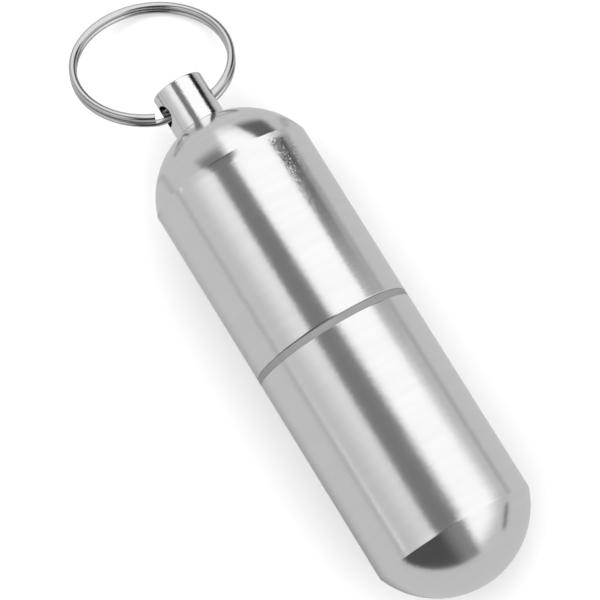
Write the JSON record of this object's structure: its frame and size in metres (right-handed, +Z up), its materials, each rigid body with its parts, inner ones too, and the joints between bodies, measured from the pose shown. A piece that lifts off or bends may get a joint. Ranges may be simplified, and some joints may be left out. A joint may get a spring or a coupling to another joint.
{
  "type": "keychain pill capsule",
  "caption": "Screw-together metal pill capsule with domed ends, a flush grey seal band, and a split ring through a cross-drilled end post.",
  "frame": {"origin": "on the surface that the capsule lies on, under the middle of its bounding box, ring included", "axes": "+X along the capsule from the ring end to the round bottom, +Z up, +Y across the capsule"},
  "size_m": [0.1038, 0.026, 0.0249],
  "materials": {
    "shell_metal": "polished, with fine turning marks",
    "post_metal": "polished",
    "seal_rubber": "matte",
    "ring_steel": "bright plated steel"
  },
  "bodies": {
    "cap": {"cap_shell": "shell_metal", "ring_post": "post_metal"},
    "ring": {"split_ring": "ring_steel"},
    "seal": {"seal_ring": "seal_rubber"},
    "body": {"body_shell": "shell_metal"}
  },
  "joints": [
    {"name": "ring_swing", "type": "hinge", "parent": "cap", "child": "ring", "pos_m": [-0.03066, 0.0005, 0.01247], "axis": [0, 0.9063, -0.4226], "range_deg": [-115, 167]},
    {"name": "seal_slide", "type": "slide", "parent": "cap", "child": "seal", "axis": [1, 0, 0], "range_m": [0, 0.012]},
    {"name": "body_unscrew", "type": "hinge", "parent": "seal", "child": "body", "pos_m": [0.01008, 0.0005, 0.01247], "axis": [1, 0, 0], "range_deg": [0, 2160]}
  ],
  "couplings": [
    {"joint": "seal_slide", "follows": "body_unscrew", "m_per_rad": 0.00031831}
  ]
}
